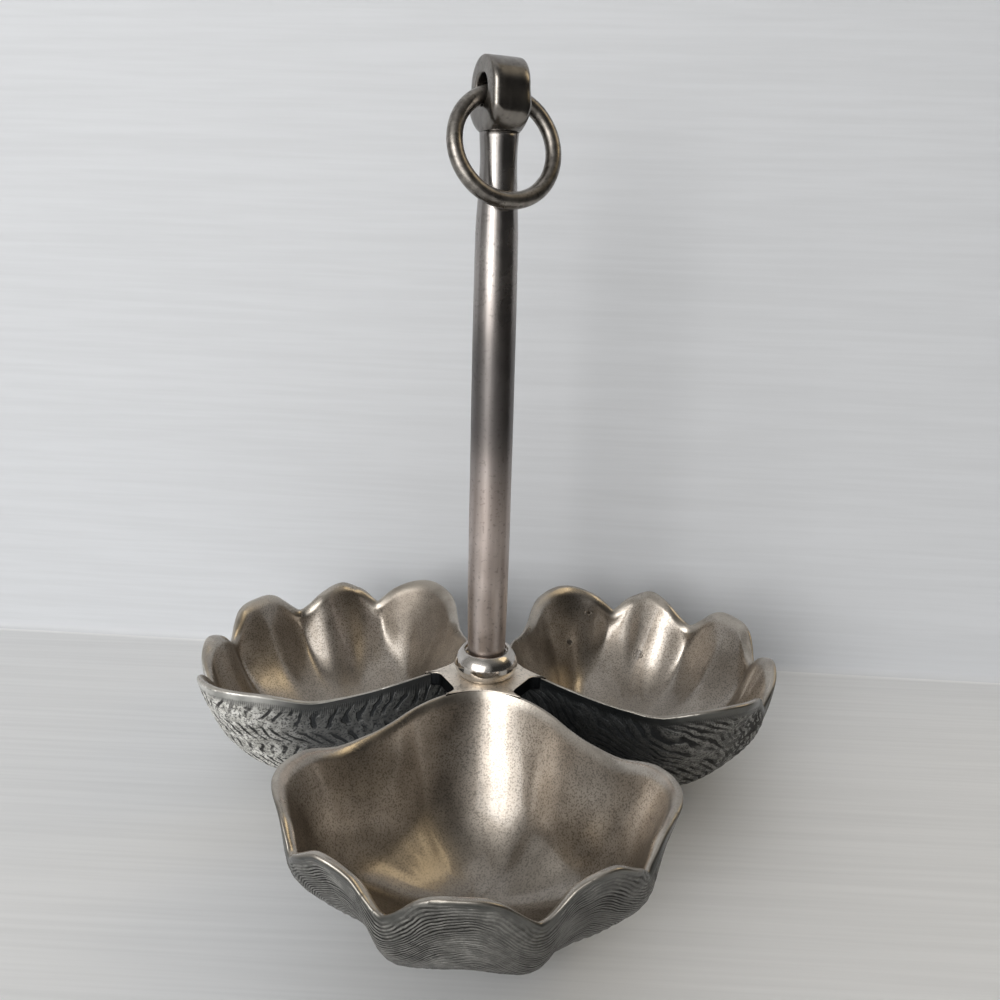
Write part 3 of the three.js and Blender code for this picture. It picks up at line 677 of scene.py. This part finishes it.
# Materials
class Nodes:
    """Short names for building a metal material out of nodes."""

    def __init__(self, name):
        self.material = bpy.data.materials.new(name)
        self.material.use_nodes = True
        self.tree = self.material.node_tree
        self.shader = self.tree.nodes["Principled BSDF"]
        self.coords = self.tree.nodes.new("ShaderNodeTexCoord").outputs["Object"]

    def link(self, source, target):
        self.tree.links.new(source, target)

    def feed(self, value, socket):
        """Sets a socket to a number or a colour, or links another node's output to it."""
        if isinstance(value, (int, float)):
            socket.default_value = value
        elif isinstance(value, tuple):
            socket.default_value = (*value, 1.0)
        else:
            self.link(value, socket)

    def height(self):
        split = self.tree.nodes.new("ShaderNodeSeparateXYZ")
        self.link(self.coords, split.inputs["Vector"])
        return split.outputs["Z"]

    def distance(self, place):
        """Distance in metres from a place in the model's frame, given in mm."""
        node = self.tree.nodes.new("ShaderNodeVectorMath")
        node.operation = "DISTANCE"
        self.link(self.coords, node.inputs[0])
        node.inputs[1].default_value = [value / 1000 for value in place]
        return node.outputs["Value"]

    def noise(self, scale, detail=3.0, stretch=(1, 1, 1)):
        coords = self.coords
        if stretch != (1, 1, 1):
            mapping = self.tree.nodes.new("ShaderNodeMapping")
            mapping.inputs["Scale"].default_value = stretch
            self.link(coords, mapping.inputs["Vector"])
            coords = mapping.outputs["Vector"]
        node = self.tree.nodes.new("ShaderNodeTexNoise")
        node.inputs["Scale"].default_value = scale
        node.inputs["Detail"].default_value = detail
        self.link(coords, node.inputs["Vector"])
        return node.outputs["Fac"]

    def attribute(self, name):
        node = self.tree.nodes.new("ShaderNodeAttribute")
        node.attribute_name = name
        return node.outputs["Fac"]

    def spread(self, value, low, high, to_low=0.0, to_high=1.0):
        node = self.tree.nodes.new("ShaderNodeMapRange")
        node.interpolation_type = "SMOOTHSTEP"
        for name, number in zip(("From Min", "From Max", "To Min", "To Max"), (low, high, to_low, to_high)):
            node.inputs[name].default_value = number
        self.link(value, node.inputs["Value"])
        return node.outputs["Result"]

    def math(self, operation, *values):
        """One operation on one value, or on two or more in turn."""
        total = values[0]
        for value in values[1:] or (0.0,):
            node = self.tree.nodes.new("ShaderNodeMath")
            node.operation = operation
            self.feed(total, node.inputs[0])
            self.feed(value, node.inputs[1])
            total = node.outputs["Value"]
        return total

    def plus(self, *values):
        return self.math("ADD", *values)

    def times(self, *values):
        return self.math("MULTIPLY", *values)

    def rest(self, share):
        return self.math("SUBTRACT", 1.0, share)

    def mix(self, share, a, b):
        node = self.tree.nodes.new("ShaderNodeMix")
        node.data_type = "RGBA"
        self.feed(share, node.inputs["Factor"])
        for socket, value in zip([s for s in node.inputs if s.type == "RGBA"], (a, b)):
            self.feed(value, socket)
        return [s for s in node.outputs if s.type == "RGBA"][0]

    def patches(self, scale, detail, low, high):
        """A share that runs from 0 to 1 over soft-edged patches of noise."""
        return self.spread(self.noise(scale, detail), low, high)

    def streaks(self, stretch):
        """A share of fine streaks and broad blotches."""
        fine = self.spread(self.noise(420, 3, stretch), 0.3, 0.7)
        return self.plus(self.times(fine, 0.45), self.times(self.patches(38, 4, 0.35, 0.65), 0.55))

    def bump(self, height, strength, distance):
        node = self.tree.nodes.new("ShaderNodeBump")
        node.inputs["Strength"].default_value = strength
        node.inputs["Distance"].default_value = distance
        self.link(height, node.inputs["Height"])
        self.link(node.outputs["Normal"], self.shader.inputs["Normal"])

    def finish(self, colour, roughness):
        if not self.shader.inputs["Metallic"].is_linked:
            self.shader.inputs["Metallic"].default_value = 1.0
        self.link(colour, self.shader.inputs["Base Color"])
        self.feed(roughness, self.shader.inputs["Roughness"])
        return self.material


# Pitches of the marks outside a bowl
STROKE_PITCH = 5.6
STROKE_ROW = 13.0  # height of a row of strokes
RIDGE_PITCH = 4.3
LINE_PITCH = 1.35
STRIA_PITCH = 0.75


def shell_outside(n):
    """Colour, height and roughness of the outside: long wavy lines in front, rows of slanted strokes
    on one side and long ridges on the other, with salt and pepper between them. Lengths in mm."""
    below, around, patina = n.attribute("below"), n.attribute("around"), n.attribute("patina")
    far = n.math("ABSOLUTE", around)
    stroked = n.spread(around, -4.0, 4.0)
    ridged = n.rest(stroked)
    side = n.spread(far, 66.0, 90.0)
    front = n.rest(side)

    def warp(scale, detail, size):
        return n.times(n.math("SUBTRACT", n.noise(scale, detail), 0.5), size)

    def stripes(along, pitch, low, high):
        return n.spread(n.math("SINE", n.times(along, 2 * math.pi / pitch)), low, high, 1.0, 0.0)

    drift = n.plus(warp(26, 2, 15), warp(95, 3, 3.2))
    lines = stripes(n.plus(below, drift), LINE_PITCH, -0.6, 0.5)
    lines = n.times(lines, n.spread(n.noise(75, 3), 0.40, 0.58, 0.3, 1.0), front)

    swing = n.times(n.plus(below, warp(38, 2, 9)), math.pi / STROKE_ROW)
    lean = n.times(n.math("COSINE", swing), -2.2)
    strokes = stripes(n.plus(around, lean, warp(50, 3, 17)), STROKE_PITCH, -0.8, -0.25)
    rows = n.spread(n.math("ABSOLUTE", n.math("SINE", swing)), 0.2, 0.65)
    strokes = n.times(strokes, rows, n.patches(110, 2, 0.33, 0.47), stroked, side)

    sweep = n.plus(below, n.times(far, 0.7), warp(36, 3, 24))
    ridges = stripes(sweep, RIDGE_PITCH, -0.6, 0.2)
    ridges = n.times(ridges, n.spread(n.noise(120, 3), 0.38, 0.58, 0.25, 1.0), ridged, side)
    cracks = n.spread(n.noise(330, 3), 0.45, 0.53, 1.0, 0.0)
    cracks = n.times(cracks, ridged, side, n.spread(far, 88.0, 128.0, 1.0, 0.0))

    band = n.spread(n.plus(below, warp(70, 2, 7), n.times(front, 3.2)), 2.2, 6.0)
    striae = stripes(n.plus(around, warp(90, 2, 1.2)), STRIA_PITCH, -0.4, 0.5)
    striae = n.times(striae, side, n.rest(band), n.spread(below, 1.6, 3.0, 0.0, 0.55))
    relief = n.math("MAXIMUM", lines, strokes, ridges, cracks)
    grooves = n.plus(n.times(relief, band), striae)
    pepper = n.times(n.patches(1100, 3, 0.51, 0.60), band, n.spread(side, 0.0, 1.0, 0.2, 0.8))
    salt = n.times(n.patches(1350, 2, 0.55, 0.66), band, patina, side, 0.5)

    grain = n.patches(300, 4, 0.40, 0.60)
    light = n.mix(grain, (0.60, 0.59, 0.55), (0.97, 0.955, 0.91))
    dark = n.mix(grain, (0.17, 0.168, 0.158), (0.285, 0.28, 0.262))
    # Painted shade: the dark patina is painted darker still towards the plus side of around, the side
    # turned away from the window light
    dark = n.mix(n.spread(around, -25.0, 45.0, 0.0, 0.62), dark, (0.075, 0.073, 0.068))
    clouds = n.patches(60, 3, 0.4, 0.6)
    light_band = n.mix(clouds, (0.38, 0.38, 0.36), (0.68, 0.67, 0.635))
    dark_band = n.mix(clouds, (0.05, 0.052, 0.048), (0.115, 0.114, 0.105))
    colour = n.mix(band, n.mix(patina, light_band, dark_band), n.mix(patina, light, dark))
    colour = n.mix(pepper, colour, (0.045, 0.043, 0.04))
    colour = n.mix(salt, colour, (0.52, 0.50, 0.455))
    colour = n.mix(n.times(grooves, 0.93), colour, (0.016, 0.015, 0.014))
    # Darker towards the hub: partly patina, partly painted shade of the narrow gap between the bowls by the
    # hub
    colour = n.mix(n.spread(far, 118.0, 156.0, 0.0, 0.85), colour, (0.03, 0.034, 0.038))
    height = n.plus(n.times(grooves, -1.0), n.times(pepper, -0.15))
    roughness = n.plus(n.spread(band, 0.0, 1.0, 0.32, 0.50), n.times(grooves, 0.2))
    return colour, height, roughness


# Casting pits inside the right bowl: place in mm, radius in mm, and how dark
PITS = ((39.3, 101.7, 37.0, 2.0, 0.9), (41.3, 102.4, 38.3, 1.3, 0.8), (48.9, 111.8, 49.1, 1.1, 0.8),
        (47.2, 111.0, 50.6, 0.8, 0.7), (73.5, 99.2, 33.0, 2.6, 0.45))

# A lobe inside the left bowl that is rougher, with less coat, and painted darker as painted shade that
# takes the window's highlight off it: place, and radius where full and where gone, in mm
DULL_SHADED_PLACE = (-38, 104, 52)
DULL_SHADED_FULL = 13
DULL_SHADED_GONE = 31


def pits(n):
    shares = []
    for x, y, z, radius, depth in PITS:
        ragged = n.plus(n.distance((x, y, z)), n.times(n.noise(700, 3), 0.0042))
        shares.append(n.spread(ragged, (radius + 1.2) / 1000, (radius + 2.4) / 1000, depth, 0.0))
    return n.math("MAXIMUM", *shares)


def shell_metal():
    """Satin and finely speckled inside, burnished on the lip, dark in the grooves outside."""
    n = Nodes("shell_metal")
    inside, lip, pitted = n.attribute("inside"), n.attribute("lip"), pits(n)
    outer = n.rest(inside)
    dull_and_shaded = n.spread(n.distance(DULL_SHADED_PLACE), DULL_SHADED_FULL / 1000, DULL_SHADED_GONE / 1000, 1.0, 0.0)
    dull_and_shaded = n.times(dull_and_shaded, inside)

    satin = n.mix(n.patches(24, 5, 0.38, 0.62), (0.35, 0.308, 0.262), (0.50, 0.448, 0.39))
    satin = n.mix(n.times(n.patches(120, 4, 0.42, 0.66), 0.4), satin, (0.25, 0.216, 0.18))
    satin = n.mix(n.times(n.patches(1450, 3, 0.48, 0.62), 0.64), satin, (0.12, 0.103, 0.086))
    # Darker towards the bottom of each bowl: partly patina, partly painted shade for the dark room that the
    # bottom reflects
    satin = n.mix(n.spread(n.height(), 0.008, 0.034, 0.5, 0.0), satin, (0.16, 0.136, 0.105))
    # Painted shade on that lobe: its colour is darkened where the window's highlight would fall
    satin = n.mix(n.times(dull_and_shaded, 0.62), satin, (0.15, 0.127, 0.104))
    satin = n.mix(pitted, satin, (0.025, 0.02, 0.016))
    burnished = n.mix(n.patches(90, 3, 0.35, 0.65), (0.36, 0.325, 0.28), (0.52, 0.475, 0.415))
    outside, relief, outer_roughness = shell_outside(n)
    colour = n.mix(n.times(lip, 0.7), n.mix(inside, outside, satin), burnished)

    roughness = n.times(n.spread(n.noise(75, 3), 0.3, 0.7, 0.30, 0.39), inside)
    roughness = n.plus(roughness, n.times(outer_roughness, outer), n.times(dull_and_shaded, 0.16))
    roughness = n.math("SUBTRACT", roughness, n.times(lip, 0.06))
    relief = n.plus(n.times(relief, outer), n.times(pitted, -0.6))
    n.bump(n.plus(n.times(n.noise(900, 3), 0.07), relief), 0.9, 0.0008)
    sheen = n.math("SUBTRACT", n.spread(inside, 0.0, 1.0, 0.05, 0.36), n.times(dull_and_shaded, 0.32))
    n.link(sheen, n.shader.inputs["Coat Weight"])
    crust = n.times(outer, n.spread(n.attribute("patina"), 0.0, 1.0, 0.34, 0.10))
    n.link(n.rest(crust), n.shader.inputs["Metallic"])
    n.shader.inputs["Coat Roughness"].default_value = 0.11
    n.shader.inputs["Coat IOR"].default_value = 2.1
    return n.finish(colour, roughness)


ALONG_THE_ROD = (1, 1, 0.05)


def turned_metal(name, dark, light, roughness, stretch, speck=0.35):
    """Burnished metal with streaks along or round it and fine dark specks."""
    n = Nodes(name)
    colour = n.mix(n.streaks(stretch), dark, light)
    specks = n.times(n.patches(700, 3, 0.56, 0.7), speck)
    colour = n.mix(specks, colour, tuple(c * 0.3 for c in dark))
    n.bump(n.noise(520, 3, stretch), 0.12, 0.0003)
    return n.finish(colour, n.spread(n.noise(110, 3), 0.3, 0.7, roughness - 0.05, roughness + 0.06))


def rod_finish():
    """Worn satin low down, painted dark in the middle as painted shade that dims the window's reflection
    there, polished towards the eye, with streaks along it.
    """
    n = Nodes("rod_metal")
    height, share = n.height(), n.streaks(ALONG_THE_ROD)
    high = n.spread(height, 0.15, 0.26)
    low_metal = n.mix(share, (0.42, 0.357, 0.328), (0.61, 0.54, 0.505))
    high_metal = n.mix(share, (0.25, 0.235, 0.225), (0.37, 0.352, 0.34))
    # Painted shade: a dark band at mid height that dims the window's reflection on the rod
    middle = n.times(n.spread(height, 0.128, 0.168), n.spread(height, 0.188, 0.232, 1.0, 0.0))
    colour = n.mix(n.times(middle, 0.88), n.mix(high, low_metal, high_metal), (0.11, 0.105, 0.104))
    colour = n.mix(n.times(n.patches(700, 3, 0.56, 0.7), 0.35), colour, (0.09, 0.08, 0.075))
    wear = n.spread(n.noise(110, 3), 0.3, 0.7, -0.04, 0.05)
    n.bump(n.noise(520, 3, ALONG_THE_ROD), 0.12, 0.0003)
    return n.finish(colour, n.plus(n.spread(high, 0.0, 1.0, 0.37, 0.24), wear))


def plate_finish():
    """Satin on top, and near-black on the sides in the gaps between the bowls: partly patina, partly
    painted shade of the gaps.
    """
    n = Nodes("plate_metal")
    colour = n.mix(n.patches(55, 4, 0.35, 0.65), (0.66, 0.60, 0.52), (0.90, 0.82, 0.72))
    colour = n.mix(n.times(n.patches(900, 3, 0.52, 0.68), 0.4), colour, (0.17, 0.15, 0.13))
    # Partly patina, partly painted shade: the plate's sides, in the gaps between the bowls, are near-black
    colour = n.mix(n.attribute("top"), (0.016, 0.017, 0.019), colour)
    n.bump(n.noise(700, 3), 0.2, 0.0003)
    return n.finish(colour, n.spread(n.noise(110, 3), 0.3, 0.7, 0.40, 0.50))


def give(obj, material, slot, *nodes):
    obj.data.materials.clear()
    obj.data.materials.append(material)
    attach(obj, "ring" if nodes == ("hanging_ring",) else "server")
    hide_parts(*nodes)
    return obj


shell = shell_metal()
for bowl_name, casting in CASTINGS.items():
    bowl = make_bowl("shell_" + bowl_name.split("_")[0], casting)
    give(bowl, shell, "shell", bowl_name)

ROUND_THE_BEAD = (0.2, 0.2, 1)
bead_metal = turned_metal("bead_metal", (0.46, 0.43, 0.40), (0.68, 0.645, 0.60), 0.14, ROUND_THE_BEAD, 0.2)
eye_metal = turned_metal("eye_metal", (0.15, 0.139, 0.128), (0.28, 0.262, 0.24), 0.23, (1, 1, 0.3))
ring_metal = turned_metal("ring_metal", (0.12, 0.11, 0.10), (0.36, 0.335, 0.305), 0.29, (1, 1, 1), 0.5)
steel = turned_metal("screw_steel", (0.26, 0.26, 0.26), (0.42, 0.42, 0.42), 0.30, (1, 1, 1), 0.3)

give(make_plate(), plate_finish(), "hub", "hub_plate")
give(lathe("bead_round", bead_profile(), 128), bead_metal, "bead", "bead_collar")
give(lathe("handle_round", rod_profile(), 96, HUB_TOP, 0.05), rod_finish(), "rod", "handle_rod")
give(make_eye(), eye_metal, "eye", "ring_eye")
give(make_ring(), ring_metal, "ring", "hanging_ring")
give(make_screw(), steel, "screw", "handle_screw")
give(make_washer(), steel, "screw", "screw_washer")


# Camera at the photo's viewpoint
CAMERA_TURN = math.radians(1.676)
CAMERA_PITCH = 0.2848
CAMERA_ROLL = -0.0282
CAMERA_PLACE = (3.887, -338.80, 177.04)  # from the handle's axis at the mean rim level, in mm
CAMERA_LENS = 32.452
CAMERA_SENSOR = 36.0


def make_camera():
    data = bpy.data.cameras.new("photo_camera")
    data.lens = CAMERA_LENS
    data.sensor_width = CAMERA_SENSOR
    data.clip_start = 0.01
    camera = add_object("photo_camera", data)
    forward = Vector((0, math.cos(CAMERA_PITCH), -math.sin(CAMERA_PITCH)))
    flat_right, flat_up = Vector((1, 0, 0)), Vector((0, math.sin(CAMERA_PITCH), math.cos(CAMERA_PITCH)))
    c, s = math.cos(CAMERA_ROLL), math.sin(CAMERA_ROLL)
    right, up = flat_right * c - flat_up * s, flat_right * s + flat_up * c
    turn = Matrix.Rotation(CAMERA_TURN, 3, "Z")
    basis = Matrix((turn @ right, turn @ up, turn @ -forward)).transposed()
    place = turn @ Vector(CAMERA_PLACE) / 1000 + Vector(AXIS)
    camera.matrix_world = Matrix.Translation(place) @ basis.to_4x4()
    bpy.context.scene.camera = camera


make_camera()


# Floor, backdrop and lights
def towards(azimuth, elevation, distance=1.0):
    """A place seen from the object: 0 is away from the camera and 90 to its right."""
    a, e = math.radians(azimuth), math.radians(elevation)
    flat = distance * math.cos(e)
    return Vector((flat * math.sin(a), flat * math.cos(a), distance * math.sin(e)))


def make_stage():
    """A table and a painted wall close behind it, which meet at a tight inner corner. The wall
    stops not far to the right, where the room is dark."""
    left, right, front, wall_at, height, bend, skew = -3.0, 0.45, -2.6, 0.1425, 2.4, 0.004, -0.031
    steps = 6
    profile = [(front, 0.0), (wall_at - bend, 0.0)]
    for i in range(1, steps + 1):
        a = math.pi / 2 * i / steps
        profile.append((wall_at - bend + bend * math.sin(a), bend - bend * math.cos(a)))
    profile.append((wall_at, height))
    mesh = bpy.data.meshes.new("floor_and_wall")
    vertices = [(AXIS[0] + x, AXIS[1] + y + x * skew, z) for y, z in profile for x in (left, right)]
    faces = [(2 * i, 2 * i + 1, 2 * i + 3, 2 * i + 2) for i in range(len(profile) - 1)]
    mesh.from_pydata(vertices, [], faces)
    mesh.polygons.foreach_set("use_smooth", [0 < i < len(faces) - 1 for i in range(len(faces))])
    mesh.polygons.foreach_set("material_index", [0 if i < 3 else 1 for i in range(len(faces))])
    floor = add_object("floor_and_wall", mesh)
    mesh.materials.append(painted_board("table_paint", (0.74, 0.752, 0.765), (0.80, 0.812, 0.825)))
    mesh.materials.append(painted_board("wall_paint", (0.625, 0.642, 0.668), (0.665, 0.683, 0.712)))


def painted_board(name, dark, light):
    """Pale paint with fine level brush streaks. The back of the board is clear, so that the object
    can be looked at from behind and from below."""
    n = Nodes(name)
    fine = n.noise(1, 3, (9, 420, 420))
    broad = n.noise(1, 2, (3, 130, 130))
    streaks = n.plus(n.times(fine, 0.6), n.times(broad, 0.4))
    n.link(n.mix(n.spread(streaks, 0.3, 0.7), dark, light), n.shader.inputs["Base Color"])
    back = n.tree.nodes.new("ShaderNodeNewGeometry").outputs["Backfacing"]
    clear = n.tree.nodes.new("ShaderNodeBsdfTransparent").outputs["BSDF"]
    choice = n.tree.nodes.new("ShaderNodeMixShader")
    for source, target in zip((back, n.shader.outputs["BSDF"], clear), choice.inputs):
        n.link(source, target)
    n.link(choice.outputs["Shader"], n.tree.nodes["Material Output"].inputs["Surface"])
    n.shader.inputs["Roughness"].default_value = 0.6
    n.shader.inputs["Specular IOR Level"].default_value = 0.3
    n.bump(streaks, 0.12, 0.0003)
    return n.material


def add_light(name, azimuth, elevation, distance, size, glow, colour):
    """A rectangle of light with an even glow, turned to the object."""
    data = bpy.data.lights.new(name, "AREA")
    data.shape = "RECTANGLE"
    data.size, data.size_y = size
    data.energy = glow * math.pi * size[0] * size[1]
    data.color = colour
    light = add_object(name, data)
    light.location = towards(azimuth, elevation, distance) + LIGHT_AIM
    light.rotation_mode = "QUATERNION"
    light.rotation_quaternion = (LIGHT_AIM - light.location).to_track_quat("-Z", "Y")


def make_world():
    """A dim room, paler to the left and round the window, and darkest on the right."""
    world = bpy.data.worlds.new("room")
    world.use_nodes = True
    tree = world.node_tree
    way = tree.nodes.new("ShaderNodeTexCoord").outputs["Generated"]
    total = None
    for azimuth, elevation, inner, outer, colour in ROOM:
        dot = tree.nodes.new("ShaderNodeVectorMath")
        dot.operation = "DOT_PRODUCT"
        tree.links.new(way, dot.inputs[0])
        dot.inputs[1].default_value = towards(azimuth, elevation)
        patch = tree.nodes.new("ShaderNodeMapRange")
        patch.interpolation_type = "SMOOTHSTEP"
        patch.inputs["From Min"].default_value = math.cos(math.radians(outer))
        patch.inputs["From Max"].default_value = math.cos(math.radians(inner))
        tree.links.new(dot.outputs["Value"], patch.inputs["Value"])
        tint = tree.nodes.new("ShaderNodeVectorMath")
        tint.operation = "SCALE"
        tint.inputs[0].default_value = colour
        tree.links.new(patch.outputs["Result"], tint.inputs["Scale"])
        if total is None:
            total = tint.outputs["Vector"]
            continue
        add = tree.nodes.new("ShaderNodeVectorMath")
        add.operation = "ADD"
        tree.links.new(total, add.inputs[0])
        tree.links.new(tint.outputs["Vector"], add.inputs[1])
        total = add.outputs["Vector"]
    background = tree.nodes["Background"]
    tree.links.new(total, background.inputs["Color"])
    background.inputs["Strength"].default_value = 1.0
    bpy.context.scene.world = world


LIGHT_AIM = Vector((0, 0, 0.08))
DAYLIGHT = (1.0, 0.985, 0.96)
# Patches of the room: azimuth, elevation, where full and where gone in degrees, and colour
ROOM = (
    (0, 90, 179, 180, (0.045, 0.044, 0.043)),
    (-90, 5, 20, 75, (0.32, 0.32, 0.315)),
    (0, 90, 10, 70, (0.22, 0.217, 0.21)),
    (-156, 15, 28, 50, (0.45, 0.45, 0.45)),
    (75, 52, 8, 40, (0.30, 0.25, 0.17)),
)
make_stage()
add_light("window", -154, 17, 1.6, (1.45, 1.1), 2.2, DAYLIGHT)
add_light("window_middle", -154, 17, 1.58, (0.5, 0.95), 4.4, DAYLIGHT)
add_light("lamp", 86, 42, 1.3, (0.52, 0.52), 1.5, (1.0, 0.80, 0.50))
add_light("ceiling", -120, 84, 1.9, (1.3, 1.3), 0.35, (0.98, 0.98, 1.0))
make_world()
bpy.context.scene.view_settings.view_transform = "Standard"
